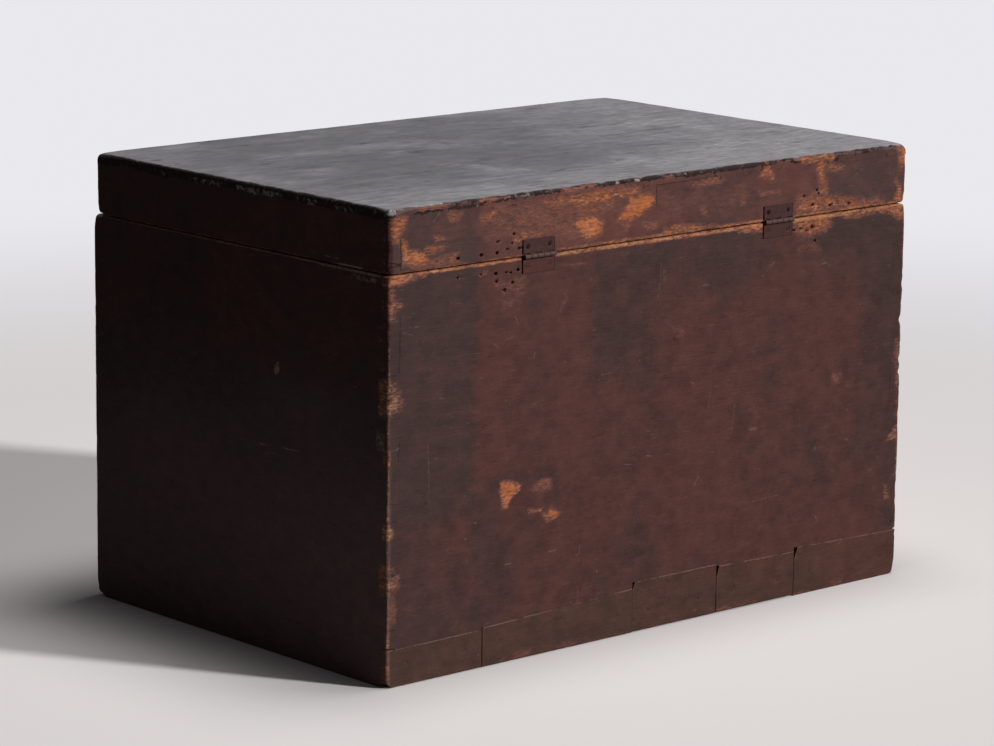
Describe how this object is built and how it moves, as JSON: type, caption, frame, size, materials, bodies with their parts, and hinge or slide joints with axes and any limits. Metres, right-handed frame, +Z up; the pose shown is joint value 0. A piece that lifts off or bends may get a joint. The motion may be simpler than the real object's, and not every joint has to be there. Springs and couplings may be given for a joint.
{
  "type": "storage chest",
  "caption": "Rectangular wooden chest of dovetailed boards with a hinged, framed lid, painted dark red-brown and black, for storing blankets, clothes or tools.",
  "frame": {"origin": "on the floor under the middle of the chest's overall box", "axes": "+X along the length, towards the end seen in the picture; +Y towards the back, where the hinges are; +Z up"},
  "size_m": [0.92, 0.6046, 0.6],
  "materials": {
    "red_brown_paint": "old satin paint over pine",
    "black_paint": "worn satin black paint over pine",
    "bare_pine": "bare aged pine",
    "dark_iron": "dull dark iron, painted over"
  },
  "bodies": {
    "chest": {"back_floor_cleat": "bare_pine", "back_lower_board": "red_brown_paint", "back_strip_1": "red_brown_paint", "back_strip_2": "red_brown_paint", "back_strip_3": "red_brown_paint", "back_strip_4": "red_brown_paint", "back_strip_5": "red_brown_paint", "back_upper_board": "red_brown_paint", "floor_board_1": "bare_pine", "floor_board_2": "bare_pine", "floor_board_3": "bare_pine", "floor_board_4": "bare_pine", "floor_board_5": "bare_pine", "front_floor_cleat": "bare_pine", "front_lower_board": "red_brown_paint", "front_upper_board": "red_brown_paint", "left_end_lower_board": "red_brown_paint", "left_end_upper_board": "red_brown_paint", "left_hinge_lower_leaf": "dark_iron", "left_hinge_lower_screw_left": "dark_iron", "left_hinge_lower_screw_right": "dark_iron", "left_hinge_pin": "dark_iron", "right_end_lower_board": "red_brown_paint", "right_end_upper_board": "red_brown_paint", "right_hinge_lower_leaf": "dark_iron", "right_hinge_lower_screw_left": "dark_iron", "right_hinge_lower_screw_right": "dark_iron", "right_hinge_pin": "dark_iron", "strip_nail_1_left": "dark_iron", "strip_nail_1_right": "dark_iron", "strip_nail_2_left": "dark_iron", "strip_nail_2_right": "dark_iron", "strip_nail_3_left": "dark_iron", "strip_nail_3_right": "dark_iron", "strip_nail_4_left": "dark_iron", "strip_nail_4_right": "dark_iron", "strip_nail_5_left": "dark_iron", "strip_nail_5_right": "dark_iron"},
    "lid": {"left_hinge_upper_leaf": "dark_iron", "left_hinge_upper_screw_left": "dark_iron", "left_hinge_upper_screw_right": "dark_iron", "lid_back_rail": "red_brown_paint", "lid_front_rail": "red_brown_paint", "lid_left_rail": "red_brown_paint", "lid_nail_back_left": "dark_iron", "lid_nail_back_right": "dark_iron", "lid_nail_front_left": "dark_iron", "lid_nail_front_right": "dark_iron", "lid_nail_left_end_back": "dark_iron", "lid_nail_left_end_front": "dark_iron", "lid_nail_right_end_back": "dark_iron", "lid_nail_right_end_front": "dark_iron", "lid_right_rail": "red_brown_paint", "lid_top_back_board": "black_paint", "lid_top_front_board": "black_paint", "right_hinge_upper_leaf": "dark_iron", "right_hinge_upper_screw_left": "dark_iron", "right_hinge_upper_screw_right": "dark_iron"}
  },
  "joints": [
    {"name": "lid_hinge", "type": "hinge", "parent": "chest", "child": "lid", "pos_m": [0, 0.299, 0.51825], "axis": [-1, 0, 0], "range_deg": [0, 180]}
  ]
}
